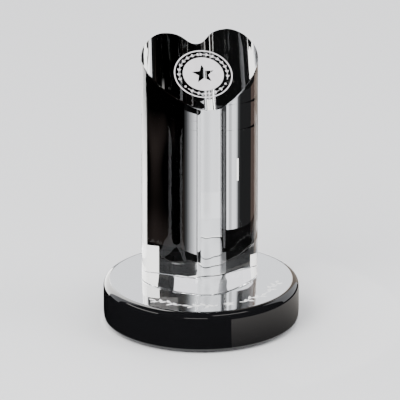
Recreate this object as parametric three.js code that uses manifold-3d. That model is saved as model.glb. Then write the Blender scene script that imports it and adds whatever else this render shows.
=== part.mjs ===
// Column trophy: a heart-section column of optic crystal with a slanted, sandblasted top face,
// bonded to a round black glass base. Millimetres, +Z up, origin at the middle of the underside.
// The heart's plane of symmetry is YZ: its tip points to the front (-Y), its two lobes to the back.
import * as THREE from "three";
import { mergeVertices } from "three/addons/utils/BufferGeometryUtils.js";
import Module from "manifold-3d";

const wasm = await Module();
wasm.setup();
const degrees = THREE.MathUtils.degToRad;

// ---- base, pad and film ----
const BASE_RADIUS = 50;
const BASE_TOP_Z = 22;
const BASE_TOP_ROUND = { wide: 3.5, tall: 4 }; // the top edge is rolled a little deeper than wide
const BASE_FOOT_ROUND = 2;
const BASE_SIDES = 80;
const FELT = { radius: 46, thick: 1 };
const PAD_GLUE = { radius: 45.5, thick: 0.2 };
const PAD_SIDES = 60;
const FILM = { inset: 1, thick: 0.2 };

// ---- heart column ----
const HEART_HALF_WIDTH = 30;
const HEART_TIP_Y = -24.4;
const HEART_WIDEST_Y = 3.9;
const LOBE_PEAK = { x: 16.4, y: 17.7 };
const NOTCH_Y = 10.9;
const HEART_CURVE_STEPS = 12; // per Bezier arc, three arcs to each half of the outline
const FACE_SLOPE = degrees(34);
const FACE_HEIGHT_ON_AXIS = 116; // above the column's own foot
const COLUMN_BEVEL = 0.5;

// ---- seal on the slanted face ----
const SEAL_CENTRE_Y = -5.2;
const SEAL_RING = { radius: 14.9, width: 0.6 };
const SEAL_DISC_RADIUS = 10.4;
const SEAL_STAR_RADIUS = 6;
const LAUREL_RADIUS = 12.4;
const LAUREL_STEM_WIDTH = 0.4;
const LAUREL_LEAF = { length: 1.5, width: 0.7, lean: degrees(38) };
const UPPER_LAUREL = { middle: degrees(90), halfSpan: degrees(110), pairs: 16 };
const LOWER_LAUREL = { middle: degrees(-90), halfSpan: degrees(48), pairs: 6 };
const BEAD = { angle: degrees(-34), radius: 0.5 }; // angle up from the seal's own right
const FROST_THICK = 0.5;

// ---- garland on the base's flat top ----
const SPRIG_RADIUS = 38.5;
const GARLAND_TURN = 10; // degrees round to the right of the heart's tip
const SPRIG_STEM = { width: 0.8, wave: 1.1, waves: 1.5, steps: 24 };
const SPRIG_SPAN = degrees(23);
const SPRIG_STARTS = { inner: degrees(9), outer: degrees(37) }; // from straight ahead
const SPRIG_LEAF = { length: 3.6, width: 1.7, lean: degrees(48) };
const SPRIG_LEAVES = { count: 7, last: 0.95 }; // the end leaf springs from this share of the stem
const BASE_STAR_RADIUS = 3.4;
const PAINT_THICK = 0.5;

// ---- shared ----
const STAR = { points: 5, waist: 0.42 }; // waist: inner radius as a share of the outer
const POCKET_GAP = 0.3; // room left round each filling in its engraved pocket
const POCKET_OVERSHOOT = 0.5; // how far a cutter stands out of the face it cuts
const LEAF_STEPS = 2;
const ROUND_STEPS = 6;
const RING_STEPS = 32;

// ---- heights that follow ----
const GLASS_FOOT_Z = FELT.thick + PAD_GLUE.thick;
const COLUMN_FOOT_Z = BASE_TOP_Z + FILM.thick;
const SEAL_CENTRE_Z = COLUMN_FOOT_Z + FACE_HEIGHT_ON_AXIS + SEAL_CENTRE_Y * Math.tan(FACE_SLOPE);

// ---- finishes ----
const finish = (color, roughness) => new THREE.MeshStandardMaterial({ color, roughness, metalness: 0 });
const CLEAR_CRYSTAL = { color: 0xf2f4f6, roughness: 0.02 };
const BLACK_GLASS = { color: 0x161618, roughness: 0.05 };
const FROSTED_CRYSTAL = { color: 0xd8cfd1, roughness: 0.7 };
const WHITE_PAINT = { color: 0xf2f1ee, roughness: 0.5 };
const BLACK_FELT = { color: 0x141415, roughness: 0.95 };
const CLEAR_ADHESIVE = { color: 0xe8e8e4, roughness: 0.2 };

// ---- solids ----
function toSolid(geometry) {
  const bare = geometry.index ? geometry.toNonIndexed() : geometry.clone();
  bare.deleteAttribute("normal");
  bare.deleteAttribute("uv");
  const merged = mergeVertices(bare, 1e-4);
  return new wasm.Manifold(
    new wasm.Mesh({
      numProp: 3,
      vertProperties: merged.attributes.position.array,
      triVerts: new Uint32Array(merged.index.array),
    }),
  );
}

function toGeometry(solid) {
  const mesh = solid.getMesh();
  const indexed = new THREE.BufferGeometry();
  indexed.setAttribute("position", new THREE.BufferAttribute(mesh.vertProperties, 3));
  indexed.setIndex(new THREE.BufferAttribute(mesh.triVerts, 1));
  const flat = indexed.toNonIndexed();
  flat.computeVertexNormals();
  return flat;
}

function plate(shape, thick, steps) {
  return new THREE.ExtrudeGeometry(shape, { depth: thick, bevelEnabled: false, curveSegments: steps });
}

function joined(plates) {
  return plates.map(toSolid).reduce((all, next) => all.add(next));
}

// ---- flat outlines; grow is how far each stands outside its own filling ----
// The heart has no corner: three arcs a side, level at its tip, its lobe peak and its notch.
function heartShape(inset) {
  const w = HEART_HALF_WIDTH;
  const right = [
    [0, HEART_TIP_Y], [10, HEART_TIP_Y], [w, -8], [w, HEART_WIDEST_Y], [w, 12.2],
    [21.8, LOBE_PEAK.y], [LOBE_PEAK.x, LOBE_PEAK.y], [5, LOBE_PEAK.y], [5.9, NOTCH_Y], [0, NOTCH_Y],
  ];
  const left = right.slice(0, -1).reverse().map(([x, y]) => [-x, y]);
  const share = 1 - inset / w;
  const points = [...right, ...left].map(([x, y]) => [x * share, y * share]);
  const shape = new THREE.Shape();
  shape.moveTo(...points[0]);
  for (let i = 1; i < points.length; i += 3)
    shape.bezierCurveTo(...points[i], ...points[i + 1], ...points[i + 2]);
  return shape;
}

function leafShape(leaf, grow) {
  const shape = new THREE.Shape();
  shape.moveTo(-grow, 0);
  shape.quadraticCurveTo(leaf.length / 2, -leaf.width - 2 * grow, leaf.length + grow, 0);
  shape.quadraticCurveTo(leaf.length / 2, leaf.width + 2 * grow, -grow, 0);
  return shape;
}

function starShape(radius, grow) {
  const half = Math.PI / STAR.points;
  const across = Math.hypot(1 - STAR.waist * Math.cos(half), STAR.waist * Math.sin(half));
  const edgeDistance = (radius * STAR.waist * Math.sin(half)) / across;
  const scale = 1 + grow / edgeDistance;
  const corners = [];
  for (let i = 0; i < 2 * STAR.points; i += 1) {
    const r = radius * scale * (i % 2 ? STAR.waist : 1);
    const angle = Math.PI / 2 + i * half;
    corners.push(new THREE.Vector2(r * Math.cos(angle), r * Math.sin(angle)));
  }
  return new THREE.Shape(corners);
}

function arcBand(radius, width, from, to, grow) {
  const spare = grow / radius;
  const shape = new THREE.Shape();
  shape.absarc(0, 0, radius + width / 2 + grow, from - spare, to + spare, false);
  shape.absarc(0, 0, radius - width / 2 - grow, to + spare, from - spare, true);
  shape.closePath();
  return shape;
}

function ringShape(ring, grow) {
  const shape = new THREE.Shape();
  const hole = new THREE.Path();
  shape.absarc(0, 0, ring.radius + grow, 0, 2 * Math.PI, false);
  hole.absarc(0, 0, ring.radius - ring.width - grow, 0, 2 * Math.PI, true);
  shape.holes.push(hole);
  return shape;
}

function dotShape(radius, grow) {
  const shape = new THREE.Shape();
  shape.absarc(0, 0, radius + grow, 0, 2 * Math.PI, false);
  return shape;
}

// ---- fillings: each gives a solid from z = 0 to its thickness ----
const sealRing = (thick, grow) => toSolid(plate(ringShape(SEAL_RING, grow), thick, RING_STEPS));

function sealDisc(thick, grow) {
  const shape = dotShape(SEAL_DISC_RADIUS, grow);
  shape.holes.push(starShape(SEAL_STAR_RADIUS, -grow));
  return toSolid(plate(shape, thick, RING_STEPS));
}

function sealBead(side) {
  const x = side * LAUREL_RADIUS * Math.cos(BEAD.angle);
  const y = LAUREL_RADIUS * Math.sin(BEAD.angle);
  const dot = (thick, grow) => toSolid(plate(dotShape(BEAD.radius, grow), thick, ROUND_STEPS));
  return (thick, grow) => dot(thick, grow).translate([x, y, 0]);
}

// A stem along an arc, with pairs of leaves that lean towards the arc's middle.
function laurel(branch) {
  return (thick, grow) => {
    const from = branch.middle - branch.halfSpan;
    const to = branch.middle + branch.halfSpan;
    const stem = arcBand(LAUREL_RADIUS, LAUREL_STEM_WIDTH, from, to, grow);
    const plates = [plate(stem, thick, RING_STEPS)];
    for (let i = 0; i < branch.pairs; i += 1) {
      const angle = from + ((i + 0.5) / branch.pairs) * (to - from);
      const inwards = angle < branch.middle ? 1 : -1;
      for (const side of [-1, 1]) {
        const leaf = plate(leafShape(LAUREL_LEAF, grow), thick, LEAF_STEPS);
        leaf.rotateZ(angle + (inwards * Math.PI) / 2 + side * LAUREL_LEAF.lean);
        leaf.translate(LAUREL_RADIUS * Math.cos(angle), LAUREL_RADIUS * Math.sin(angle), 0);
        plates.push(leaf);
      }
    }
    return joined(plates);
  };
}

// A waving stem with leaves on alternate sides and one at its end; angles run from -Y towards +X.
function sprig(side, start) {
  const angleAt = (t) => start + SPRIG_SPAN * t - Math.PI / 2;
  const waveAt = (t) => SPRIG_STEM.wave * Math.sin(2 * Math.PI * SPRIG_STEM.waves * t);
  const pointAt = (t, out) => {
    const r = SPRIG_RADIUS + waveAt(t) + out;
    return new THREE.Vector2(r * Math.cos(angleAt(t)), r * Math.sin(angleAt(t)));
  };
  return (thick, grow) => {
    const spare = grow / (SPRIG_RADIUS * SPRIG_SPAN);
    const halfWidth = SPRIG_STEM.width / 2 + grow;
    const outer = [];
    const inner = [];
    for (let i = 0; i <= SPRIG_STEM.steps; i += 1) {
      const t = -spare + (i / SPRIG_STEM.steps) * (1 + 2 * spare);
      outer.push(pointAt(t, halfWidth));
      inner.unshift(pointAt(t, -halfWidth));
    }
    const plates = [plate(new THREE.Shape([...outer, ...inner]), thick, 1)];
    for (let i = 1; i <= SPRIG_LEAVES.count; i += 1) {
      const t = (SPRIG_LEAVES.last * i) / SPRIG_LEAVES.count;
      const lean = i === SPRIG_LEAVES.count ? 0 : SPRIG_LEAF.lean * (i % 2 ? 1 : -1);
      const foot = pointAt(t, 0);
      const leaf = plate(leafShape(SPRIG_LEAF, grow), thick, LEAF_STEPS);
      leaf.rotateZ(angleAt(t) + Math.PI / 2 + lean);
      leaf.translate(foot.x, foot.y, 0);
      plates.push(leaf);
    }
    const solid = joined(plates);
    return side < 0 ? solid.mirror([1, 0, 0]) : solid;
  };
}

const baseStar = (thick, grow) =>
  toSolid(plate(starShape(BASE_STAR_RADIUS, grow), thick, 1)).translate([0, -SPRIG_RADIUS, 0]);

const SEAL_FILLINGS = {
  seal_ring: sealRing,
  seal_disc: sealDisc,
  seal_laurel_upper: laurel(UPPER_LAUREL),
  seal_laurel_lower: laurel(LOWER_LAUREL),
  seal_bead_left: sealBead(-1),
  seal_bead_right: sealBead(1),
};

const onGarland = (filling) => (thick, grow) => filling(thick, grow).rotate([0, 0, GARLAND_TURN]);

const GARLAND_FILLINGS = {
  garland_star: onGarland(baseStar),
  garland_sprig_left_inner: onGarland(sprig(-1, SPRIG_STARTS.inner)),
  garland_sprig_left_outer: onGarland(sprig(-1, SPRIG_STARTS.outer)),
  garland_sprig_right_inner: onGarland(sprig(1, SPRIG_STARTS.inner)),
  garland_sprig_right_outer: onGarland(sprig(1, SPRIG_STARTS.outer)),
};

// ---- the big pieces ----
function turned(profile, sides) {
  const points = profile.map(([r, z]) => new THREE.Vector2(r, z));
  return new THREE.LatheGeometry(points, sides).rotateX(Math.PI / 2);
}

function quarterRound(centre, wide, tall, fromAngle) {
  const points = [];
  for (let i = 0; i <= ROUND_STEPS; i += 1) {
    const angle = fromAngle + (i / ROUND_STEPS) * (Math.PI / 2);
    points.push([centre[0] + wide * Math.cos(angle), centre[1] + tall * Math.sin(angle)]);
  }
  return points;
}

function puck(radius, bottomZ, topZ) {
  return turned([[0, bottomZ], [radius, bottomZ], [radius, topZ], [0, topZ]], PAD_SIDES);
}

function baseBlank() {
  const foot = BASE_FOOT_ROUND;
  const { wide, tall } = BASE_TOP_ROUND;
  return turned(
    [
      [0, GLASS_FOOT_Z],
      ...quarterRound([BASE_RADIUS - foot, GLASS_FOOT_Z + foot], foot, foot, -Math.PI / 2),
      ...quarterRound([BASE_RADIUS - wide, BASE_TOP_Z - tall], wide, tall, 0),
      [0, BASE_TOP_Z],
    ],
    BASE_SIDES,
  );
}

function baseDisc() {
  let solid = toSolid(baseBlank());
  for (const filling of Object.values(GARLAND_FILLINGS)) {
    const pocket = filling(PAINT_THICK + POCKET_OVERSHOOT, POCKET_GAP);
    solid = solid.subtract(pocket.translate([0, 0, BASE_TOP_Z - PAINT_THICK]));
  }
  return toGeometry(solid);
}

// An upright heart prism with its upper outline raised onto the plane z = height + y tan(slope).
function columnBlank() {
  const bevel = COLUMN_BEVEL;
  const geometry = new THREE.ExtrudeGeometry(heartShape(0), {
    depth: 1,
    curveSegments: HEART_CURVE_STEPS,
    bevelThickness: bevel,
    bevelSize: bevel,
    bevelOffset: -bevel,
    bevelSegments: 1,
  });
  const place = geometry.attributes.position;
  for (let i = 0; i < place.count; i += 1) {
    const z = place.getZ(i);
    const slanted = FACE_HEIGHT_ON_AXIS + place.getY(i) * Math.tan(FACE_SLOPE);
    place.setZ(i, z > 0.5 ? slanted + z - 1 - bevel : z + bevel);
  }
  return geometry.translate(0, 0, COLUMN_FOOT_Z);
}

function crystalColumn() {
  let solid = toSolid(columnBlank());
  const depth = FROST_THICK + POCKET_GAP;
  for (const filling of Object.values(SEAL_FILLINGS)) {
    const pocket = filling(depth + POCKET_OVERSHOOT, POCKET_GAP).translate([0, 0, -depth]);
    const turnedPocket = pocket.rotate([THREE.MathUtils.radToDeg(FACE_SLOPE), 0, 0]);
    solid = solid.subtract(turnedPocket.translate([0, SEAL_CENTRE_Y, SEAL_CENTRE_Z]));
  }
  return toGeometry(solid);
}

// ---- the trophy ----
const trophy = new THREE.Group();

function add(parent, name, geometry, look) {
  const mesh = new THREE.Mesh(geometry, finish(look.color, look.roughness));
  mesh.name = name;
  parent.add(mesh);
  return mesh;
}

add(trophy, "felt_pad", puck(FELT.radius, 0, FELT.thick), BLACK_FELT);
add(trophy, "pad_adhesive", puck(PAD_GLUE.radius, FELT.thick, GLASS_FOOT_Z), CLEAR_ADHESIVE);
add(trophy, "base_disc", baseDisc(), BLACK_GLASS);
const film = plate(heartShape(FILM.inset), FILM.thick, HEART_CURVE_STEPS).translate(0, 0, BASE_TOP_Z);
add(trophy, "bond_film", film, CLEAR_ADHESIVE);
add(trophy, "crystal_column", crystalColumn(), CLEAR_CRYSTAL);

for (const [name, filling] of Object.entries(GARLAND_FILLINGS)) {
  const piece = add(trophy, name, toGeometry(filling(PAINT_THICK, 0)), WHITE_PAINT);
  piece.position.z = BASE_TOP_Z - PAINT_THICK;
}

const slantedFace = new THREE.Group();
slantedFace.position.set(0, SEAL_CENTRE_Y, SEAL_CENTRE_Z);
slantedFace.rotation.x = FACE_SLOPE;
trophy.add(slantedFace);
for (const [name, filling] of Object.entries(SEAL_FILLINGS)) {
  const piece = add(slantedFace, name, toGeometry(filling(FROST_THICK, 0)), FROSTED_CRYSTAL);
  piece.position.z = -FROST_THICK;
}

export default trophy;
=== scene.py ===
"""Looks of the column trophy: a heart-section crystal column on a round black glass base.

Everything is in metres in the part's own frame: +Z up, the heart's tip towards -Y, YZ its plane of symmetry.
"""
import math

import bmesh
import bpy
import numpy as np
from mathutils import Matrix, Vector

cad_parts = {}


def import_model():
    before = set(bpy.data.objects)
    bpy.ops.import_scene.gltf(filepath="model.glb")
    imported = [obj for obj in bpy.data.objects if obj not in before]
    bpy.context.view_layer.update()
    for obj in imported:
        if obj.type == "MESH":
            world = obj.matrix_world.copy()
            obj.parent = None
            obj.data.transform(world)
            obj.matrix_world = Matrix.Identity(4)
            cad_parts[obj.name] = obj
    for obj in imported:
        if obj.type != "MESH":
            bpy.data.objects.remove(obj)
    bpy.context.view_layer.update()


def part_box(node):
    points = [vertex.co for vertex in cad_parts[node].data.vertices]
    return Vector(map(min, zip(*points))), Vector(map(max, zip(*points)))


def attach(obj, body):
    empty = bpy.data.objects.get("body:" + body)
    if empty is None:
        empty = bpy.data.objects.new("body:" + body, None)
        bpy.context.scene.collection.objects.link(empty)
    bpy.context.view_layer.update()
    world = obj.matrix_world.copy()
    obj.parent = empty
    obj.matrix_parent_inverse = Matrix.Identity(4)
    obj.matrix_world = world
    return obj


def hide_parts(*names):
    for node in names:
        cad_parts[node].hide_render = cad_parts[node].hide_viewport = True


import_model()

MM = 0.001

# ---- places taken from the frame ----
FELT_LOW, FELT_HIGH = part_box("felt_pad")
GLUE_LOW, GLUE_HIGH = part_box("pad_adhesive")
BASE_LOW, BASE_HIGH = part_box("base_disc")
FILM_LOW, FILM_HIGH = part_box("bond_film")
COLUMN_LOW, COLUMN_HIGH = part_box("crystal_column")
RING_LOW, RING_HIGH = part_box("seal_ring")

# ---- base ----
BASE_TOP_ROUND_WIDE = 3.5 * MM
BASE_TOP_ROUND_TALL = 4.0 * MM
BASE_FOOT_ROUND = 2.0 * MM
BASE_FLAT_RADIUS = BASE_HIGH.x - BASE_TOP_ROUND_WIDE
TURNED_SIDES = 360
ROUND_STEPS = 14

# ---- felt pad and the adhesives ----
FELT_EDGE = 0.35 * MM
FELT_NAP = 0.12 * MM  # how far the cut edge of the felt wanders
GLUE_EDGE = 0.05 * MM
FILM_INSET = 0.9 * MM
FILM_BULGE = 0.12 * MM
FILM_CLEARANCE = 0.01 * MM  # keeps the adhesive's faces off the glass, so that neither shimmers

# ---- heart column ----
FACE_SLOPE = math.radians(34)
COLUMN_BEVEL = 0.45 * MM
BEVEL_STEPS = 5
SIDE_EDGE_LOOP = 0.002  # share of the side's height at which a loop keeps its shading straight
ARC_STEPS = 72
HEART_WIDEST_Y = 3.9 * MM
LOBE_PEAK_X = 16.4 * MM
NOTCH_Y = 10.9 * MM
# the Bezier handles beside those points: along x where the outline runs level, along y at its widest
TIP_HANDLE_X = 10 * MM
FLANK_HANDLES_Y = (-8.0 * MM, 12.2 * MM)
LOBE_HANDLES_X = (21.8 * MM, 5.0 * MM)
NOTCH_HANDLE_X = 5.9 * MM
FACE_AXIS_Z = COLUMN_HIGH.z - (COLUMN_HIGH.y - 0.5 * MM) * math.tan(FACE_SLOPE)

# ---- seal, in the plane of the slanted face: x across, y up the slope, from its own middle ----
FROST_THICK = 0.5 * MM
SEAL_Y = (RING_LOW.y + RING_HIGH.y) / 2 - FROST_THICK / 2 * math.sin(FACE_SLOPE)
FROST_PROUD = 0.03 * MM
FROST_DEEP = 0.25 * MM
FROST_EDGE = 0.03 * MM
BEAD_SHOULDER = 0.005 * MM  # height of a bead's edge, from which it rises to the full height
BEAD_EDGE = 0.02 * MM
SEAL_RING_OUTER = 14.9 * MM
SEAL_RING_INNER = 14.3 * MM
SEAL_DISC_RADIUS = 10.4 * MM
SEAL_STAR_RADIUS = 6.0 * MM
STAR_WAIST = 0.42
LAUREL_RADIUS = 12.4 * MM
LAUREL_STEM_HALF = 0.17 * MM
LAUREL_LEAF_LONG = 1.6 * MM
LAUREL_LEAF_HALF = 0.38 * MM
LAUREL_LEAN = math.radians(38)
UPPER_LAUREL = {"middle": math.radians(90), "half_span": math.radians(110), "pairs": 16}
LOWER_LAUREL = {"middle": math.radians(-90), "half_span": math.radians(48), "pairs": 6}
BEAD_ANGLE = math.radians(-34)
BEAD_RADIUS = 0.55 * MM

# ---- garland on the base ----
PAINT_PROUD = 0.04 * MM
PAINT_DEEP = 0.2 * MM
PAINT_EDGE = 0.015 * MM
STAR_CROWN = 0.6  # share of the painted star's height that is its swell
SPRIG_RADIUS = 38.5 * MM
GARLAND_TURN = math.radians(10)  # round to the right of the heart's tip
SPRIG_STEM_HALF = 0.38 * MM
SPRIG_WAVE = 1.1 * MM
SPRIG_WAVES = 1.5
SPRIG_SPAN = math.radians(23)
SPRIG_STARTS = {"inner": math.radians(9), "outer": math.radians(37)}
SPRIG_LEAF_LONG = 3.7 * MM
SPRIG_LEAF_HALF = 0.88 * MM
SPRIG_LEAN = math.radians(48)
SPRIG_LEAVES = 7
SPRIG_LAST_LEAF = 0.95
BASE_STAR_RADIUS = 3.4 * MM


# ======================================================================= mesh helpers
def piece_from(name, points, faces, smooth=True, sharp_degrees=None, closed=True):
    """A mesh object at the origin from an array of points and a list of faces, turned to face outwards."""
    mesh = bpy.data.meshes.new(name)
    mesh.from_pydata(np.asarray(points, float).tolist(), [], [list(map(int, f)) for f in faces])
    mesh.update()
    if closed:
        work = bmesh.new()
        work.from_mesh(mesh)
        bmesh.ops.recalc_face_normals(work, faces=work.faces)
        work.to_mesh(mesh)
        work.free()
    if smooth:
        mesh.shade_smooth()
    if sharp_degrees is not None:
        mesh.set_sharp_from_angle(angle=math.radians(sharp_degrees))
    obj = bpy.data.objects.new(name, mesh)
    bpy.context.scene.collection.objects.link(obj)
    return obj


def grid_faces(rings, around, closed=False):
    """Quads between neighbouring rings of a grid; closed joins the last ring to the first."""
    i = np.arange(rings if closed else rings - 1)[:, None]
    j = np.arange(around)[None, :]
    n = (i + 1) % rings
    k = (j + 1) % around
    quads = np.stack([i * around + j, i * around + k, n * around + k, n * around + j], -1)
    return quads.reshape(-1, 4).tolist()


def capped(name, rings, sharp_degrees):
    """A closed solid from a stack of equal rings, bottom first, with a flat face at each end."""
    count, around = rings.shape[:2]
    faces = grid_faces(count, around)
    faces.append(list(range(around))[::-1])
    faces.append(list(range((count - 1) * around, count * around)))
    return piece_from(name, rings.reshape(-1, 3), faces, sharp_degrees=sharp_degrees)


def turned(name, profile, sharp_degrees=30, wander=None):
    """A profile of (radius, height) pairs carried round the Z axis; its first and last rings are capped.

    wander, where given, is added to the radius at each angle.
    """
    profile = np.asarray(profile)
    angle = np.linspace(0, 2 * math.pi, TURNED_SIDES, endpoint=False)
    radius = profile[:, None, 0] + (0 if wander is None else wander(angle)[None])
    rings = np.empty((len(profile), TURNED_SIDES, 3))
    rings[..., 0] = radius * np.cos(angle)
    rings[..., 1] = radius * np.sin(angle)
    rings[..., 2] = profile[:, None, 1]
    return capped(name, rings, sharp_degrees)


def quarter(centre, wide, tall, start_degrees):
    """A quarter of an ellipse about centre, anticlockwise from a start angle: (radius, height) pairs."""
    angle = math.radians(start_degrees) + np.linspace(0, math.pi / 2, ROUND_STEPS + 1)
    return [(centre[0] + wide * math.cos(a), centre[1] + tall * math.sin(a)) for a in angle]


def moved(points, matrix):
    """The points taken through a 4x4 matrix."""
    m = np.array(matrix)
    return points @ m[:3, :3].T + m[:3, 3]


# ======================================================================= the heart
def heart_outline(steps):
    """Points and outward normals round the heart, anticlockwise from its tip.

    Each half is three cubic Bezier arcs that meet smoothly, level at the tip, the lobe peak and the notch.
    """
    w, tip, peak = COLUMN_HIGH.x, COLUMN_LOW.y, COLUMN_HIGH.y
    right = np.array([
        (0, tip), (TIP_HANDLE_X, tip), (w, FLANK_HANDLES_Y[0]), (w, HEART_WIDEST_Y),
        (w, FLANK_HANDLES_Y[1]), (LOBE_HANDLES_X[0], peak), (LOBE_PEAK_X, peak),
        (LOBE_HANDLES_X[1], peak), (NOTCH_HANDLE_X, NOTCH_Y), (0, NOTCH_Y),
    ])
    corners = np.vstack([right, right[-2::-1] * (-1, 1)])
    t = np.linspace(0, 1, steps, endpoint=False)[:, None]
    points, tangents = [], []
    for i in range(0, len(corners) - 1, 3):
        a, b, c, d = corners[i:i + 4]
        points.append((1 - t) ** 3 * a + 3 * (1 - t) ** 2 * t * b + 3 * (1 - t) * t ** 2 * c + t ** 3 * d)
        tangents.append((1 - t) ** 2 * (b - a) + 2 * (1 - t) * t * (c - b) + t ** 2 * (d - c))
    points, tangents = np.vstack(points), np.vstack(tangents)
    tangents /= np.linalg.norm(tangents, axis=1)[:, None]
    return points, np.stack([tangents[:, 1], -tangents[:, 0]], 1)


def face_height(y):
    """Height of the slanted face at a given y."""
    return FACE_AXIS_Z + y * math.tan(FACE_SLOPE)


def crystal_column():
    """The heart outline carried straight up from the foot to the slanted face, both rims a little rounded.

    On a rim the outline moves inwards by r(1 - sin a) while the height runs r(1 - cos a) from the end.
    """
    points, normals = heart_outline(ARC_STEPS)
    turn = np.linspace(0, math.pi / 2, BEVEL_STEPS + 1)
    rings = []
    for a in turn:
        flat = points - normals * COLUMN_BEVEL * (1 - math.sin(a))
        height = np.full(len(flat), COLUMN_LOW.z + COLUMN_BEVEL * (1 - math.cos(a)))
        rings.append(np.column_stack([flat, height]))
    low, high = rings[-1][:, 2], face_height(points[:, 1]) - COLUMN_BEVEL
    for share in (SIDE_EDGE_LOOP, 0.5, 1 - SIDE_EDGE_LOOP):
        rings.append(np.column_stack([points, low + share * (high - low)]))
    for a in turn[::-1]:
        flat = points - normals * COLUMN_BEVEL * (1 - math.sin(a))
        height = face_height(flat[:, 1]) - COLUMN_BEVEL * (1 - math.cos(a))
        rings.append(np.column_stack([flat, height]))
    return capped("crystal_column_polished", np.array(rings), 40)


def bond_film():
    """The adhesive: the heart outline drawn in by an inset that bulges by a half sine over its height."""
    points, normals = heart_outline(ARC_STEPS)
    low, high = FILM_LOW.z + FILM_CLEARANCE, FILM_HIGH.z - FILM_CLEARANCE
    rings = []
    for share in np.linspace(0, 1, 7):
        flat = points - normals * (FILM_INSET - FILM_BULGE * math.sin(math.pi * share))
        rings.append(np.column_stack([flat, np.full(len(flat), low + share * (high - low))]))
    return capped("bond_film_clear", np.array(rings), 40)


# ======================================================================= base and pad
def base_disc():
    """A disc with a small round at its foot and a deeper rolled edge at its top."""
    foot, wide, tall = BASE_FOOT_ROUND, BASE_TOP_ROUND_WIDE, BASE_TOP_ROUND_TALL
    profile = quarter((BASE_HIGH.x - foot, BASE_LOW.z + foot), foot, foot, -90)
    profile += quarter((BASE_FLAT_RADIUS, BASE_HIGH.z - tall), wide, tall, 0)
    return turned("base_disc_polished", profile)


def half_round_disc(name, low, high, edge, wander=None):
    """A thin disc whose edge is a half round: radius r - e + e cos a and height m + h sin a."""
    middle, half = (low.z + high.z) / 2, (high.z - low.z) / 2
    angle = np.linspace(-math.pi / 2, math.pi / 2, 9)
    profile = [(high.x - edge + edge * math.cos(a), middle + half * math.sin(a)) for a in angle]
    return turned(name, profile, 60, wander)


def felt_wander(angle):
    """The scissor-cut edge of the felt: the radius drawn in by a sum of fine waves of unrelated lengths."""
    waves = np.sin(61 * angle) + 0.7 * np.sin(97 * angle + 1.3) + 0.5 * np.sin(149 * angle + 2.1)
    return FELT_NAP * (waves / 2.2 - 1) / 2


# ======================================================================= flat ornaments
def star_radius(angle, radius):
    """Distance from a star's middle to its straight sides at each angle, in polar form, one point up."""
    step = math.pi / 5
    turn = np.abs((angle - math.pi / 2 + step) % (2 * step) - step)
    return radius * STAR_WAIST * math.sin(step) / (STAR_WAIST * np.sin(step - turn) + np.sin(turn))


def round_outline(radius, count):
    """Points of an outline whose radius is a number or a function of the angle."""
    angle = np.linspace(0, 2 * math.pi, count, endpoint=False)
    r = radius(angle) if callable(radius) else np.full(count, radius)
    return np.stack([r * np.cos(angle), r * np.sin(angle)], 1)


def band(name, inner, outer, low, high, edge, matrix):
    """A flat plate between two outlines of equal count, its upper edges rounded.

    Its section runs up the inner edge, across the top, down the outer edge and back along the bottom.
    A point is inner + (outer - inner) s, moved in by e(1 - cos a) where the round rises by e sin a.
    """
    across = outer - inner
    unit = across / np.linalg.norm(across, axis=1)[:, None]
    turn = np.linspace(0, math.pi / 2, 4)
    section = [(0, edge * (1 - math.cos(a)), high - edge + edge * math.sin(a)) for a in turn]
    section += [(share, 0, high) for share in (0.25, 0.5, 0.75)]
    section += [(1, -edge * (1 - math.cos(a)), high - edge + edge * math.sin(a)) for a in turn[::-1]]
    section += [(1, 0, low), (0, 0, low)]
    rings = []
    for share, inset, height in section:
        flat = inner + across * share + unit * inset
        rings.append(np.column_stack([flat, np.full(len(inner), height)]))
    points = moved(np.array(rings).reshape(-1, 3), matrix)
    return piece_from(name, points, grid_faces(len(rings), len(inner), closed=True), sharp_degrees=40)


def slab(name, outline, low, high, edge, matrix, crown=0.0):
    """A flat plate inside one outline, its upper edge rounded and its top swelling by crown (1 - s^2)."""
    middle = outline.mean(axis=0)
    reach = np.linalg.norm(outline - middle, axis=1)[:, None]
    turn = np.linspace(0, math.pi / 2, 4)
    section = [(0.0, low)]
    section += [(edge * (1 - math.cos(a)), high - edge + edge * math.sin(a)) for a in turn]
    rings = []
    for inset, height in section:
        flat = outline - (outline - middle) / reach * inset
        rings.append(np.column_stack([flat, np.full(len(outline), height)]))
    for share in (0.8, 0.6, 0.4, 0.2, 0.05):
        height = high + crown * (1 - share * share)
        rings.append(np.column_stack([middle + (outline - middle) * share, np.full(len(outline), height)]))
    rings = np.array(rings)
    points = moved(rings.reshape(-1, 3), matrix)
    return capped(name, points.reshape(rings.shape), 40)


# the section of a stem or leaf, as shares of its half width and height: a vein sinks between two ridges
STRIP_SECTION = np.array([
    (-1, -1), (-1, 0), (-0.86, 0.8), (-0.45, 1.0), (0, 0.45), (0.45, 1.0), (0.86, 0.8), (1, 0), (1, -1),
])


def strips(paths, half_widths, low, high):
    """Flat strips along paths, as points and faces: the section above carried along each path and capped.

    paths is (count, stations, 2) and half_widths (count, stations); the section spreads along the normals.
    """
    ahead = np.gradient(paths, axis=1)
    ahead /= np.linalg.norm(ahead, axis=2)[..., None]
    normal = np.stack([-ahead[..., 1], ahead[..., 0]], -1)
    across, rise = STRIP_SECTION[:, 0], STRIP_SECTION[:, 1]
    flat = paths[:, :, None] + normal[:, :, None] * (half_widths[:, :, None] * across)[..., None]
    height = np.where(rise < 0, low, rise * high)
    points = np.concatenate([flat, np.broadcast_to(height[None, None, :, None], flat.shape[:3] + (1,))], -1)
    count, stations, around = points.shape[:3]
    one = grid_faces(stations, around)
    one += [list(range(around))[::-1], list(range((stations - 1) * around, stations * around))]
    faces = [[index + n * stations * around for index in face] for n in range(count) for face in one]
    return points.reshape(-1, 3), faces


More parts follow.
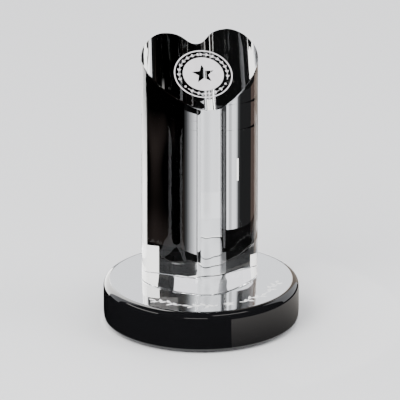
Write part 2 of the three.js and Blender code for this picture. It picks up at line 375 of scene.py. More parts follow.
def leaf_paths(feet, headings, length, bend):
    """Centre lines of leaves and their stations u: straight from the foot, bowed sideways by 4u(1 - u)."""
    u = np.linspace(0.03, 0.985, 10)
    ahead = np.stack([np.cos(headings), np.sin(headings)], -1)[:, None]
    aside = np.stack([-np.sin(headings), np.cos(headings)], -1)[:, None]
    bow = (bend[:, None] * 4 * u * (1 - u))[..., None]
    return feet[:, None] + ahead * (u * length)[None, :, None] + aside * bow, u


def leaf_half(u, half):
    """Half width of a leaf: half sin(pi u^0.8), widest a little before its middle and pointed at its end."""
    return half * np.sin(math.pi * u ** 0.8)


def foliage(name, stem, stem_half, leaves, leaf_long, leaf_half_width, low, high, matrix):
    """One piece from a stem's centre line and its leaves, given as feet, headings and bends."""
    feet, headings, bends = leaves
    taper = stem_half * (1 - 0.45 * np.linspace(0, 1, len(stem)))
    points, faces = strips(stem[None], taper[None], low, high * 0.9)
    paths, u = leaf_paths(feet, headings, leaf_long, bends)
    more, extra = strips(paths, np.tile(leaf_half(u, leaf_half_width), (len(paths), 1)), low, high)
    faces += [[index + len(points) for index in face] for face in extra]
    points = np.vstack([points, more])
    return piece_from(name, moved(points, matrix), faces, sharp_degrees=60)


def face_matrix():
    """Takes the seal's own plane onto the slanted face."""
    middle = Matrix.Translation((0, SEAL_Y, face_height(SEAL_Y)))
    return middle @ Matrix.Rotation(FACE_SLOPE, 4, "X")


def laurel(name, branch, matrix):
    """A branch along an arc of the seal, with pairs of leaves that lean towards the arc's middle."""
    middle, half_span, pairs = branch["middle"], branch["half_span"], branch["pairs"]
    sweep = np.linspace(middle - half_span, middle + half_span, 8 * pairs)
    stem = LAUREL_RADIUS * np.stack([np.cos(sweep), np.sin(sweep)], -1)
    angle = middle + half_span * (2 * (np.arange(pairs) + 0.5) / pairs - 1)
    inwards = np.where(angle < middle, 1, -1)
    angle, inwards = np.repeat(angle, 2), np.repeat(inwards, 2)
    side = np.tile([-1, 1], pairs)
    feet = LAUREL_RADIUS * np.stack([np.cos(angle), np.sin(angle)], -1)
    headings = angle + inwards * math.pi / 2 + side * LAUREL_LEAN
    leaves = feet, headings, -side * 0.09 * LAUREL_LEAF_LONG
    return foliage(name, stem, LAUREL_STEM_HALF, leaves, LAUREL_LEAF_LONG, LAUREL_LEAF_HALF,
                   -FROST_DEEP, FROST_PROUD, matrix)


def sprig(name, side, start, matrix):
    """A waving stem round the base with leaves on alternate sides and one at its end; side -1 mirrors it."""
    def on_stem(t):
        angle = start + SPRIG_SPAN * t - math.pi / 2
        radius = SPRIG_RADIUS + SPRIG_WAVE * np.sin(2 * math.pi * SPRIG_WAVES * t)
        return np.stack([radius * np.cos(angle), radius * np.sin(angle)], -1), angle

    stem = on_stem(np.linspace(0, 1, 60))[0]
    order = np.arange(1, SPRIG_LEAVES + 1)
    feet, angle = on_stem(SPRIG_LAST_LEAF * order / SPRIG_LEAVES)
    lean = np.where(order == SPRIG_LEAVES, 0, np.where(order % 2, 1, -1))
    headings = angle + math.pi / 2 + lean * SPRIG_LEAN
    leaves = feet, headings, -lean * 0.1 * SPRIG_LEAF_LONG
    mirror = Matrix.Scale(side, 4, (1, 0, 0))
    return foliage(name, stem, SPRIG_STEM_HALF, leaves, SPRIG_LEAF_LONG, SPRIG_LEAF_HALF,
                   -PAINT_DEEP, PAINT_PROUD, matrix @ mirror)


# ======================================================================= materials
def material(name):
    """A new node material, its Principled shader, and the functions that add a node and link two sockets."""
    made = bpy.data.materials.new(name)
    made.use_nodes = True
    nodes = made.node_tree.nodes
    shader = nodes.get("Principled BSDF")

    def add(kind, inputs=(), **settings):
        node = nodes.new(kind)
        for key, value in settings.items():
            setattr(node, key, value)
        for key, value in dict(inputs).items():
            node.inputs[key].default_value = value
        return node

    return made, shader, add, made.node_tree.links.new


def grain(add, link, scale, detail=2.0, stretch=(1, 1, 1), rough=0.5):
    """Noise from 0 to 1 on the piece's own place; a stretch below 1 lengthens it along that axis."""
    where = add("ShaderNodeTexCoord")
    turn = add("ShaderNodeMapping", {"Scale": stretch})
    link(where.outputs["Object"], turn.inputs["Vector"])
    noise = add("ShaderNodeTexNoise", {"Scale": scale, "Detail": detail, "Roughness": rough})
    link(turn.outputs["Vector"], noise.inputs["Vector"])
    return noise.outputs["Fac"]


def remap(add, link, value, low, high, to_low, to_high):
    """The value taken from one range to another and kept inside it."""
    ends = {"From Min": low, "From Max": high, "To Min": to_low, "To Max": to_high}
    node = add("ShaderNodeMapRange", ends)
    link(value, node.inputs["Value"])
    return node.outputs["Result"]


def tint(add, link, value, first, second):
    """A colour between two, by a value from 0 to 1."""
    node = add("ShaderNodeMix", {6: (*first, 1), 7: (*second, 1)}, data_type="RGBA")
    link(value, node.inputs["Factor"])
    return node.outputs[2]


def bumped(add, link, shader, value, distance, strength):
    """Raises the surface by the value, up to a distance."""
    node = add("ShaderNodeBump", {"Distance": distance, "Strength": strength})
    link(value, node.inputs["Height"])
    link(node.outputs["Normal"], shader.inputs["Normal"])


CRYSTAL_IOR = 1.40
GLASS_IOR = 1.52
ADHESIVE_IOR = 1.50
TOP_SKIN = 0.02 * MM  # the base's flat top is what lies higher than this below it


def clear_crystal():
    """Lead-free optical crystal: water white, dulled in faint clouds by a trace of handling film."""
    made, shader, add, link = material("clear_crystal")
    shader.inputs["Transmission Weight"].default_value = 1.0
    shader.inputs["IOR"].default_value = CRYSTAL_IOR
    cloud = grain(add, link, 38, 3.0)
    link(tint(add, link, cloud, (0.988, 0.992, 0.995), (0.976, 0.984, 0.984)), shader.inputs["Base Color"])
    smear = grain(add, link, 210, 4.0, (1, 1, 0.25))
    link(remap(add, link, smear, 0.60, 0.80, 0.0, 0.02), shader.inputs["Roughness"])
    return made


def black_glass():
    """Black glass with a mirrored flat top, dust specks on its side and faint wiping marks all over."""
    made, shader, add, link = material("black_glass")
    where = add("ShaderNodeTexCoord")
    parts = add("ShaderNodeSeparateXYZ")
    link(where.outputs["Object"], parts.inputs[0])
    flat = add("ShaderNodeMath", {1: BASE_HIGH.z - TOP_SKIN}, operation="GREATER_THAN")
    link(parts.outputs["Z"], flat.inputs[0])
    speck = remap(add, link, grain(add, link, 1500, 1.0), 0.80, 0.84, 0.0, 1.0)
    ink = tint(add, link, speck, (0.004, 0.004, 0.0045), (0.10, 0.10, 0.10))
    mirror = tint(add, link, grain(add, link, 30, 2.0), (0.76, 0.765, 0.77), (0.72, 0.725, 0.73))
    tone = add("ShaderNodeMix", data_type="RGBA")
    link(flat.outputs[0], tone.inputs["Factor"])
    link(ink, tone.inputs[6])
    link(mirror, tone.inputs[7])
    link(tone.outputs[2], shader.inputs["Base Color"])
    link(flat.outputs[0], shader.inputs["Metallic"])
    wiping = remap(add, link, grain(add, link, 160, 4.0, (1, 0.2, 1)), 0.55, 0.85, 0.012, 0.05)
    link(wiping, shader.inputs["Roughness"])
    shader.inputs["IOR"].default_value = GLASS_IOR
    return made


def frosted_crystal():
    """Sand-blasted crystal: a fine even grit, a little uneven in whiteness."""
    made, shader, add, link = material("frosted_crystal")
    grit = grain(add, link, 5200, 3.0, rough=0.7)
    patch = grain(add, link, 260, 3.0)
    link(tint(add, link, patch, (0.66, 0.63, 0.64), (0.54, 0.51, 0.52)), shader.inputs["Base Color"])
    link(remap(add, link, grit, 0.3, 0.7, 0.55, 0.85), shader.inputs["Roughness"])
    bumped(add, link, shader, grit, 0.05 * MM, 0.6)
    return made


def white_paint():
    """Enamel filled into the etched ornament: off-white, with the tooth of the etching under it."""
    made, shader, add, link = material("white_paint")
    tooth = grain(add, link, 3600, 2.0, rough=0.65)
    patch = grain(add, link, 300, 3.0)
    link(tint(add, link, patch, (0.90, 0.90, 0.88), (0.78, 0.77, 0.75)), shader.inputs["Base Color"])
    link(remap(add, link, tooth, 0.3, 0.7, 0.35, 0.6), shader.inputs["Roughness"])
    bumped(add, link, shader, tooth, 0.03 * MM, 0.4)
    return made


def black_felt():
    """Pressed wool felt: short crossed fibres, dull, with lighter fluff on top."""
    made, shader, add, link = material("black_felt")
    one = grain(add, link, 1500, 4.0, (1, 0.12, 1), 0.7)
    other = grain(add, link, 1700, 4.0, (0.12, 1, 1), 0.7)
    both = add("ShaderNodeMath", operation="MULTIPLY")
    link(one, both.inputs[0])
    link(other, both.inputs[1])
    fibre = remap(add, link, both.outputs[0], 0.12, 0.42, 0.0, 1.0)
    link(tint(add, link, fibre, (0.008, 0.008, 0.009), (0.05, 0.05, 0.052)), shader.inputs["Base Color"])
    link(remap(add, link, fibre, 0.0, 1.0, 0.85, 1.0), shader.inputs["Roughness"])
    shader.inputs["Sheen Weight"].default_value = 0.3
    shader.inputs["Specular IOR Level"].default_value = 0.2
    bumped(add, link, shader, fibre, 0.15 * MM, 0.7)
    return made


def clear_adhesive(name, clear):
    """Cured adhesive: faintly yellow, with small bubbles that scatter light; clear is its transmission."""
    made, shader, add, link = material(name)
    bubble = remap(add, link, grain(add, link, 900, 1.0), 0.66, 0.74, 0.0, 1.0)
    link(tint(add, link, bubble, (0.93, 0.93, 0.88), (0.98, 0.98, 0.96)), shader.inputs["Base Color"])
    link(remap(add, link, bubble, 0.0, 1.0, 0.05, 0.5), shader.inputs["Roughness"])
    shader.inputs["Transmission Weight"].default_value = clear
    shader.inputs["IOR"].default_value = ADHESIVE_IOR
    return made


# ======================================================================= stage
CAMERA_AZIMUTH = math.radians(-11.6)
CAMERA_ELEVATION = math.radians(20.7)
CAMERA_LENS = 700.0
VIEW_WIDTH = 204.5 * MM
BASE_TOP_BELOW_MIDDLE = 39.93 * MM
BASE_TOP_RIGHT_OF_MIDDLE = 0.61 * MM
ROOM_COLOR = (0.95, 0.965, 1.0)
ROOM_LIGHT = 1.75
LIGHTS_AIM = (0, 0, 0.06)
FLOOR_HALF = 30

# ---- the cards' places in millimetres: right of the trophy's axis, away from the camera, and up ----
GLASS, MIRROR = ("glass",), ("reflection",)
CARD_BLACK = (0.003, 0.003, 0.003)
WARM_WHITE = (1, 0.99, 0.97)
HAIR = 0.12 * MM  # between the crystal's back and a card that follows it
ON_FLOOR = 0.6
ON_BASE = 22.35
COLUMN_FOOT = 22.5
LEFT_FLAG_FOOT = 32.5
FADE_TOP = 109
BANDS_AWAY = 60
BANDS_FOOT = 29.5
BANDS_TOP = 104
FLAG_TOP = 165  # well above the column
WEDGE_HEIGHT = 60
FOOT_GLOW_REACH = (0.15 * MM, 1.5 * MM)
FOOT_GLOW_STEPS = 24
TENT_RADIUS = 550
TENT_HALF = 700
TENT_HEIGHT = 900
CLOTH_INNER, CLOTH_MIDDLE, CLOTH_OUTER = 52, 104, 700
CLOTH_GAP = {"inner": -71, "middle": -63, "end": 55}  # degrees, anticlockwise from the camera's right
TURN = 360

# (millimetres, share of the room's light): to the right for the lobes, away from the camera for the tip
LEFT_FADE = [(-3.8, 0.01), (-2.4, 0.04), (-1.2, 0.12), (-0.2, 0.26), (0.7, 0.42), (1.6, 0.62), (2.6, 0.8)]
RIGHT_BANDS = [
    (-12.7, 0.012), (-3.4, 0.012), (-2.2, 0.06), (-1.0, 0.8), (1.5, 0.9), (2.6, 0.5), (4.6, 0.48),
    (5.7, 0.95), (7.8, 1.0), (8.8, 0.04), (17, 0.028), (30, 0.05), (60, 0.1),
]
TIP_BAND = [(-46, 0.6), (-39.5, 0.75), (-36, 0.85), (-31, 1.0), (-22, 1.0)]

# heights at which the louvres meet the crystal's back, and how far they fall for each millimetre outwards
LOBE_LOUVRE_HEIGHTS = (142, 128, 114, 100)
NOTCH_LOUVRE_HEIGHTS = (112, 107, 102)
LOUVRE_FALL = 0.375

# outlines of the cards that aren't plain screens, as (right, away)
LEFT_FLAG = [(-60, 30), (-12, 30), (-6, 24), (-3.8, 21.9)]
FADE_SCREEN = [(-3.8, 21.9), (2.6, 15.85)]
LOBE_LOUVRE = [(3.2, 16.8), (6.5, 19.5), (10, 21.2), (50, 21.6), (50, 44.8), (4, 44.8)]
NOTCH_LOUVRE = [
    (-6.2, 11.5), (-4.6, 11), (-3, 10.9), (-1.4, 11.2), (0, 11.9), (2.2, 14.6), (2.4, 15.8), (-3.7, 21.6),
]
FLAG_ON_BASE = [
    (-30, 14.8), (-15, 15), (-8, 13), (-3, 11.2), (1, 13.4), (4, 17), (9, 20.8), (16, 21.4), (34, 21.4),
    (30, 40), (0, 49), (-30, 40),
]
TIP_ON_BASE = [
    (-4, -23.8), (-7.5, -22.6), (-12, -21.2), (-20, -18.5), (-48, -18.5), (-48, -44), (-22, -44),
]
WEDGE_RIGHT = [(24, -62), (66, -62), (66, -14), (42, -14), (36, -34), (24, -42)]
WEDGE_LEFT = [(-56, -62), (22, -62), (22, -40), (-20, -40), (-44, -20), (-56, -20)]


def camera():
    """A long lens far off, aimed so that the base's top is as far below the middle as stated above."""
    a, e = CAMERA_AZIMUTH, CAMERA_ELEVATION
    back = Vector((math.sin(a) * math.cos(e), -math.cos(a) * math.cos(e), math.sin(e)))
    right = Vector((math.cos(a), math.sin(a), 0))
    up = back.cross(right)
    data = bpy.data.cameras.new("camera")
    data.lens = CAMERA_LENS
    distance = VIEW_WIDTH / data.sensor_width * data.lens
    data.clip_end = 100
    target = Vector((0, 0, BASE_HIGH.z)) + up * BASE_TOP_BELOW_MIDDLE - right * BASE_TOP_RIGHT_OF_MIDDLE
    obj = bpy.data.objects.new("camera", data)
    obj.location = target + back * distance
    obj.rotation_euler = (-back).to_track_quat("-Z", "Y").to_euler()
    bpy.context.scene.collection.objects.link(obj)
    bpy.context.scene.camera = obj


def softbox(name, position, side, power):
    """A square soft light aimed at the trophy."""
    data = bpy.data.lights.new(name, "AREA")
    data.shape = "RECTANGLE"
    data.size = side
    data.size_y = side
    data.energy = power
    obj = bpy.data.objects.new(name, data)
    obj.location = position
    obj.rotation_euler = (Vector(LIGHTS_AIM) - Vector(position)).to_track_quat("-Z", "Y").to_euler()
    bpy.context.scene.collection.objects.link(obj)


def beside(right, away, up):
    """A point given in millimetres to the right of the trophy's axis, away from the camera, and up."""
    a = CAMERA_AZIMUTH
    x = math.cos(a) * right - math.sin(a) * away
    y = math.sin(a) * right + math.cos(a) * away
    return MM * Vector((x, y, up))


def set_card(obj, look, seen_by):
    """Gives a mesh its look as a card, which the camera doesn't see, casts no shadow and shows only in what
    seen_by names.
    """
    obj.data.materials.append(look)
    obj.visible_camera = False
    obj.visible_diffuse = False
    obj.visible_shadow = False
    obj.visible_volume_scatter = False
    obj.visible_glossy = "reflection" in seen_by
    obj.visible_transmission = "glass" in seen_by


def card(name, corners, faces, look, seen_by):
    """A card through corners (right, away, up)."""
    points = [tuple(beside(*c)) for c in corners]
    set_card(piece_from(name, points, faces, smooth=False, closed=False), look, seen_by)


def screen(name, places, low, high, look, seen_by):
    """An upright card through places (right, away), from one height to another."""
    corners = [(*spot, height) for spot in places for height in (low, high)]
    faces = [(2 * i, 2 * i + 2, 2 * i + 3, 2 * i + 1) for i in range(len(places) - 1)]
    card(name, corners, faces, look, seen_by)


def lying(name, places, height, look, seen_by):
    """A level card through places (right, away)."""
    card(name, [(*spot, height) for spot in places], [range(len(places))], look, seen_by)


def hugging(name, first, last, low, high, look):
    """An upright card a hair behind the crystal's back, between two distances to the right."""
    points, normals = heart_outline(ARC_STEPS)
    points = (points + normals * HAIR) / MM
    a = CAMERA_AZIMUTH
    lateral = points @ (math.cos(a), math.sin(a))
    depth = points @ (-math.sin(a), math.cos(a))
    back = np.flatnonzero(depth > 0)
    back = back[np.argsort(lateral[back])]
    places = [(x, float(np.interp(x, lateral[back], depth[back]))) for x in np.linspace(first, last, 9)]
    screen(name, places, low, high, look, GLASS)


def louvre(name, places, height, look):
    """A sloping card behind the crystal: rays through the side pass along it, those through the face end."""
    nearest = places[0][1]
    corners = [(right, away, height - LOUVRE_FALL * (away - nearest)) for right, away in places]
    card(name, corners, [range(len(corners))], look, GLASS)


def arc(radius, start, end, steps):
    """Places (right, away) on an arc round the axis, by degrees anticlockwise from the camera's right."""
    angle = np.radians(np.linspace(start, end, steps))
    return [(radius * math.cos(a), radius * math.sin(a)) for a in angle]


# ---- the cards' looks ----
def matt(name, color=(0, 0, 0)):
    """What material() gives, for a card without gloss."""
    parts = material(name)
    shader = parts[1]
    shader.inputs["Base Color"].default_value = (*color, 1)
    shader.inputs["Specular IOR Level"].default_value = 0.0
    return parts


def light_up(shader, color, strength):
    """Gives a shader an even light of its own."""
    shader.inputs["Emission Color"].default_value = (*color, 1)
    shader.inputs["Emission Strength"].default_value = strength


def black_look():
    """A black card."""
    made, shader = matt("black_card", CARD_BLACK)[:2]
    shader.inputs["Roughness"].default_value = 1.0
    return made


def streaked_look():
    """Near black with upright brown streaks that come and go, as a dark room shows through crystal."""
    made, shader, add, link = matt("streaked_card")
    streak = remap(add, link, grain(add, link, 210, 2.0, (1, 1, 0.06)), 0.50, 0.72, 0.0, 1.0)
    link(tint(add, link, streak, (0.0, 0.0, 0.0), (0.030, 0.023, 0.021)), shader.inputs["Emission Color"])
    shader.inputs["Emission Strength"].default_value = 1.0
    return made


def glow_look(name, color, strength):
    """A card that glows evenly."""
    made, shader = matt(name)[:2]
    light_up(shader, color, strength)
    return made


def distance_along(add, link, heading_degrees):
    """Distance in metres along a level heading, counted from the camera's right to away from the camera."""
    h = math.radians(heading_degrees)
    heading = beside(math.cos(h), math.sin(h), 0) / MM
    where = add("ShaderNodeTexCoord")
    dot = add("ShaderNodeVectorMath", {1: heading}, operation="DOT_PRODUCT")
    link(where.outputs["Object"], dot.inputs[0])
    return dot.outputs["Value"]


def graded_glow_look(name, heading_degrees, stops):
    """The room's light, its strength following stops of (distance in mm, share) along a heading."""
    made, shader, add, link = matt(name)
    first, last = stops[0][0], stops[-1][0]
    distance = distance_along(add, link, heading_degrees)
    ramp = add("ShaderNodeValToRGB")
    link(remap(add, link, distance, first * MM, last * MM, 0.0, 1.0), ramp.inputs["Fac"])
    elements = ramp.color_ramp.elements
    elements.remove(elements[1])
    elements[0].position = 0
    for spot, _ in stops[1:]:
        elements.new((spot - first) / (last - first))
    for element, (_, share) in zip(elements, stops):
        element.color = (*[c * share for c in ROOM_COLOR], 1)
    link(ramp.outputs["Color"], shader.inputs["Emission Color"])
    shader.inputs["Emission Strength"].default_value = ROOM_LIGHT
    return made


def radial_glow_look(name, color, strength, near, far):
    """A glow that rises from nothing at one distance in millimetres from the axis to full at another."""
    made, shader, add, link = matt(name)
    where = add("ShaderNodeTexCoord")
    reach = add("ShaderNodeVectorMath", operation="LENGTH")
    link(where.outputs["Object"], reach.inputs[0])
    share = remap(add, link, reach.outputs["Value"], near * MM, far * MM, 0.0, 1.0)
    link(tint(add, link, share, (0, 0, 0), color), shader.inputs["Emission Color"])
    shader.inputs["Emission Strength"].default_value = strength
    return made


def veil_look(name, value_of):
    """Black where value_of gives 1 and clear where it gives 0; returns the material and its shader."""
    made, shader, add, link = matt(name, CARD_BLACK)
    shader.inputs["Roughness"].default_value = 1.0
    link(value_of(add, link), shader.inputs["Alpha"])
    return made, shader


def dark_cloth_look():
    """Dark cloth that shows only after a first reflection, so that glass stays clear to look through."""
    def reflected(add, link):
        path = add("ShaderNodeLightPath")
        once = add("ShaderNodeMath", {1: 0.5}, operation="GREATER_THAN")
        link(path.outputs["Glossy Depth"], once.inputs[0])
        return once.outputs[0]

    return veil_look("dark_cloth", reflected)[0]


def reflected_glow_look(name, color, strength, times):
    """A glow that shows only to light reflected just so many times; the rest passes through the card."""
    def reflected_so_often(add, link):
        path = add("ShaderNodeLightPath")
        equal = add("ShaderNodeMath", {1: times, 2: 0.5}, operation="COMPARE")
        link(path.outputs["Glossy Depth"], equal.inputs[0])
        return equal.outputs[0]

    made, shader = veil_look(name, reflected_so_often)
    light_up(shader, color, strength)
    return made


def fading_glow_look(name, color, strength, full, gone):
    """A glow that fades to nothing between two heights in millimetres."""
    def low_down(add, link):
        where = add("ShaderNodeTexCoord")
        parts = add("ShaderNodeSeparateXYZ")
        link(where.outputs["Object"], parts.inputs[0])
        return remap(add, link, parts.outputs["Z"], full * MM, gone * MM, 1.0, 0.0)

    made, shader = veil_look(name, low_down)
    light_up(shader, color, strength)
    return made


# ---- the cards ----
def foot_glow(look):
    """A bright line round the column's foot: the heart outline between two offsets, level on the base."""
    points, normals = heart_outline(FOOT_GLOW_STEPS)
    level = np.full(len(points), BASE_HIGH.z + FOOT_GLOW_REACH[0])
    rings = [np.column_stack([points + normals * reach, level]) for reach in FOOT_GLOW_REACH]
    faces = grid_faces(len(rings), len(points))
    set_card(piece_from("foot_glow", np.vstack(rings), faces, smooth=False, closed=False), look, GLASS)


def left_cards(black):
    """Behind the left lobe: a streaked flag, and at its right edge a fade from dark to the clear middle."""
    screen("flag_left", LEFT_FLAG, LEFT_FLAG_FOOT, FLAG_TOP, streaked_look(), GLASS)
    fade = graded_glow_look("left_fade_glow", 0, LEFT_FADE)
    screen("left_fade", FADE_SCREEN, LEFT_FLAG_FOOT, FADE_TOP, fade, GLASS)
    screen("flag_above_fade", FADE_SCREEN, FADE_TOP, FLAG_TOP, black, GLASS)
    screen("flag_left_foot", [(-60, 30), (-19, 30)], COLUMN_FOOT, LEFT_FLAG_FOOT, black, GLASS)


def right_cards(black):
    """Behind the right lobe: its clear and dark bands, the brown edge, and black above and below them."""
    bands = graded_glow_look("right_lobe_bands", 0, RIGHT_BANDS)
    first, last = RIGHT_BANDS[0][0], RIGHT_BANDS[-1][0]
    screen("right_bands", [(first, BANDS_AWAY), (last, BANDS_AWAY)], BANDS_FOOT, BANDS_TOP, bands, GLASS)
    whole = [(-90, BANDS_AWAY), (last, BANDS_AWAY)]
    brown = glow_look("brown_edge_glow", (1, 0.72, 0.62), 0.11)
    screen("brown_edge", [(-90, BANDS_AWAY), (first, BANDS_AWAY)], COLUMN_FOOT, BANDS_TOP, brown, GLASS)
    screen("right_bands_top", whole, BANDS_TOP, FLAG_TOP, black, GLASS)
    screen("right_bands_foot", whole, 0.5, BANDS_FOOT, black, GLASS)


def louvres(black):
    """Sloping cards that turn the slanted face black and leave the side as it is."""
    for height in LOBE_LOUVRE_HEIGHTS:
        louvre(f"lobe_louvre_{height}", LOBE_LOUVRE, height, black)
    for height in NOTCH_LOUVRE_HEIGHTS:
        louvre(f"notch_louvre_{height}", NOTCH_LOUVRE, height, black)


def low_and_tip_cards(black):
    """Cards that the foot of the column shows, and those that its tip turns back to the camera."""
    lying("flag_on_base", FLAG_ON_BASE, ON_BASE, black, GLASS)
    tip = graded_glow_look("tip_band_glow", 90, TIP_BAND)
    screen("tip_band", [(-40, -46), (-40, -22)], 1, 84, tip, GLASS)
    lying("tip_on_base", TIP_ON_BASE, ON_BASE, tip, GLASS)
    clear = glow_look("side_turn_glow", ROOM_COLOR, 0.85 * ROOM_LIGHT)
    screen("side_turn", [(45, 3), (45, 14)], 20, 97, clear, GLASS)
    lower = reflected_glow_look("lower_band_glow", (0.96, 0.95, 1.0), ROOM_LIGHT, 1)
    screen("lower_band", [(-12, 50), (30, 50)], 30, 47, lower, GLASS)


def cards_on_back(black, white):
    """Small cards close to the crystal's back: its left edge, its foot, the stripe's foot and the spark."""
    edge = fading_glow_look("left_edge_glow", WARM_WHITE, 2.2, 70, 120)
    dim = glow_look("dim_band_glow", ROOM_COLOR, 0.12 * ROOM_LIGHT)
    hugging("left_edge_card", -20.6, -19.45, 36, 120, edge)
    hugging("left_foot_card", -21, -14.9, COLUMN_FOOT, 37, white)
    hugging("left_foot_flag", -14.9, -8.6, COLUMN_FOOT, 33, black)
    hugging("stripe_foot", 2.4, 4.3, COLUMN_FOOT, 34, dim)
    hugging("right_foot_card", 13.6, 17.5, COLUMN_FOOT, 29, white)
    hugging("spark_card", 7.7, 8.4, 71.5, 83.5, white)


def wedge_cards():
    """Level cards in front that draw the face's two white wedges, after two reflections in the crystal."""
    wedge = reflected_glow_look("wedge_card_glow", WARM_WHITE, 2.6, 2)
    lying("wedge_card_right", WEDGE_RIGHT, WEDGE_HEIGHT, wedge, GLASS)
    lying("wedge_card_left", WEDGE_LEFT, WEDGE_HEIGHT, wedge, GLASS)


def rim_cards():
    """Bright cards that the base's rolled edge and side mirror."""
    rim = glow_look("rim_card_glow", WARM_WHITE, 9.0)
    dim = glow_look("dim_card_glow", (1, 0.86, 0.74), 0.9)
    strip = glow_look("strip_glow", (1, 0.98, 0.95), 5.0)
    screen("rim_card_left", [(-88, 19), (-52, 57)], 12, 260, rim, MIRROR)
    screen("rim_card_right", [(50, 82), (70, 42)], 12, 260, dim, MIRROR)
    screen("strip_front", [(-160, -470), (60, -495)], 110, 150, strip, MIRROR)
    screen("strip_right", [(120, -430), (420, -200)], 420, 520, strip, MIRROR)
    screen("strip_left", arc(TENT_RADIUS - 10, -142, -190, 4), 250, 330, strip, MIRROR)


def tent(black):
    """A black tent that only reflections see, open behind the trophy, so that polished faces turn black."""
    roof = [(x * TENT_HALF, y * TENT_HALF) for x, y in ((-1, -1), (1, -1), (1, 1), (-1, 1))]
    screen("tent_wall", arc(TENT_RADIUS, 15, -195, 15), ON_FLOOR, TENT_HEIGHT, black, MIRROR)
    lying("tent_roof", roof, TENT_HEIGHT, black, MIRROR)


def dark_cloth():
    """Dark cloth on the floor, with a gap whose warm glow the base's right side mirrors.

    The gap runs from -63 degrees on its outer arc, and -71 on its inner one, round to 55.
    """
    look = dark_cloth_look()
    inner, middle, end = CLOTH_GAP["inner"], CLOTH_GAP["middle"], CLOTH_GAP["end"]
    gap = arc(CLOTH_MIDDLE, middle, end, 30) + arc(CLOTH_INNER, end, inner, 30)
    near = arc(CLOTH_MIDDLE, end, middle + TURN, 50) + arc(CLOTH_INNER, inner + TURN, end, 50)
    far = arc(CLOTH_OUTER, 0, TURN, 61) + arc(CLOTH_MIDDLE, TURN, 0, 61)
    lying("dark_cloth_near", near, ON_FLOOR, look, GLASS + MIRROR)
    lying("dark_cloth_gap", gap, ON_FLOOR, look, GLASS)
    lying("gap_card", gap, ON_FLOOR + 0.1, radial_glow_look("gap_glow", (1, 0.95, 0.9), 1.1, 42, 96), MIRROR)
    lying("dark_cloth_far", far, ON_FLOOR, look, GLASS + MIRROR)


def light_cards():
    """The cards set round crystal and black glass to draw their edges."""
    black = black_look()
    white = glow_look("white_card_glow", WARM_WHITE, 2.6)
    left_cards(black)
    right_cards(black)
    louvres(black)
    low_and_tip_cards(black)
    cards_on_back(black, white)
    wedge_cards()
    foot_glow(white)
    rim_cards()
    tent(black)
    dark_cloth()


def floor():
    """A pale floor with a trace of unevenness."""
    corners = [(x * FLOOR_HALF, y * FLOOR_HALF, 0) for x, y in ((-1, -1), (1, -1), (1, 1), (-1, 1))]
    obj = piece_from("floor", corners, [(0, 1, 2, 3)], smooth=False, closed=False)
    made, shader, add, link = material("pale_floor")
    cloud = grain(add, link, 1.5, 3.0)
    link(tint(add, link, cloud, (0.82, 0.815, 0.81), (0.80, 0.795, 0.79)), shader.inputs["Base Color"])
    shader.inputs["Roughness"].default_value = 0.6
    obj.data.materials.append(made)


def world():
    """The pale room's even light."""
    made = bpy.data.worlds.new("pale_room")
    made.use_nodes = True
    made.node_tree.nodes["Background"].inputs["Color"].default_value = (*ROOM_COLOR, 1)
    made.node_tree.nodes["Background"].inputs["Strength"].default_value = ROOM_LIGHT
    bpy.context.scene.world = made


# ======================================================================= the trophy
def place(piece, look, slot, *nodes):
    """Gives a piece its look and its body, and hides the CAD nodes that it stands for; slot is not used."""
    piece.data.materials.clear()
    piece.data.materials.append(look)
    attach(piece, "root")
    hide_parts(*nodes)


def body_pieces():
    """The column and the base, with the pad and the adhesives between them."""
    place(crystal_column(), clear_crystal(), "clear_crystal", "crystal_column")
    place(bond_film(), clear_adhesive("bond_adhesive", 1.0), "clear_adhesive", "bond_film")
    place(base_disc(), black_glass(), "black_glass", "base_disc")
    felt = half_round_disc("felt_pad_cut", FELT_LOW, FELT_HIGH, FELT_EDGE, felt_wander)
    place(felt, black_felt(), "black_felt", "felt_pad")
    glue = half_round_disc("pad_adhesive_coat", GLUE_LOW, GLUE_HIGH, GLUE_EDGE)
    place(glue, clear_adhesive("pad_adhesive", 0.6), "clear_adhesive", "pad_adhesive")


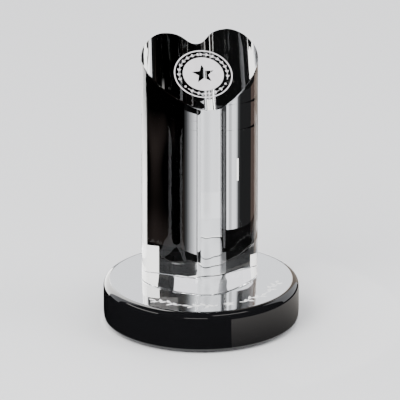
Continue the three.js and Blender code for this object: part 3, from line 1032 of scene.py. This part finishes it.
def seal_pieces():
    """The frosted seal on the slanted face: ring, disc with a clear star, two laurel branches, two beads."""
    frost, on_face = frosted_crystal(), face_matrix()
    depth = (-FROST_DEEP, FROST_PROUD, FROST_EDGE, on_face)
    ring_edges = [round_outline(radius, 240) for radius in (SEAL_RING_INNER, SEAL_RING_OUTER)]
    place(band("seal_ring_frosted", *ring_edges, *depth), frost, "frosted_crystal", "seal_ring")
    clear_star = round_outline(lambda angle: star_radius(angle, SEAL_STAR_RADIUS), 360)
    disc = band("seal_disc_frosted", clear_star, round_outline(SEAL_DISC_RADIUS, 360), *depth)
    place(disc, frost, "frosted_crystal", "seal_disc")
    for node, branch in (("seal_laurel_upper", UPPER_LAUREL), ("seal_laurel_lower", LOWER_LAUREL)):
        place(laurel(node + "_frosted", branch, on_face), frost, "frosted_crystal", node)
    for node, side in (("seal_bead_left", -1), ("seal_bead_right", 1)):
        middle = (side * LAUREL_RADIUS * math.cos(BEAD_ANGLE), LAUREL_RADIUS * math.sin(BEAD_ANGLE))
        outline = round_outline(BEAD_RADIUS, 36) + middle
        bead = slab(node + "_frosted", outline, -FROST_DEEP, BEAD_SHOULDER, BEAD_EDGE, on_face,
                    crown=FROST_PROUD)
        place(bead, frost, "frosted_crystal", node)


def garland_pieces():
    """The painted garland on the base: a star in front and two sprigs on each side of it."""
    paint = white_paint()
    on_base = Matrix.Translation((0, 0, BASE_HIGH.z)) @ Matrix.Rotation(GARLAND_TURN, 4, "Z")
    outline = round_outline(lambda angle: star_radius(angle, BASE_STAR_RADIUS), 120)
    in_front = on_base @ Matrix.Translation((0, -SPRIG_RADIUS, 0))
    centre = slab("garland_star_painted", outline, -PAINT_DEEP, PAINT_PROUD * (1 - STAR_CROWN), PAINT_EDGE,
                  in_front, crown=PAINT_PROUD * STAR_CROWN)
    place(centre, paint, "white_paint", "garland_star")
    for side_name, side in (("left", -1), ("right", 1)):
        for run, start in SPRIG_STARTS.items():
            node = f"garland_sprig_{side_name}_{run}"
            place(sprig(node + "_painted", side, start, on_base), paint, "white_paint", node)


camera()
world()
floor()
softbox("key_softbox", (-0.9, -0.9, 1.3), 0.9, 30)
softbox("fill_softbox", (1.1, -0.6, 0.9), 0.7, 8)
light_cards()
body_pieces()
seal_pieces()
garland_pieces()
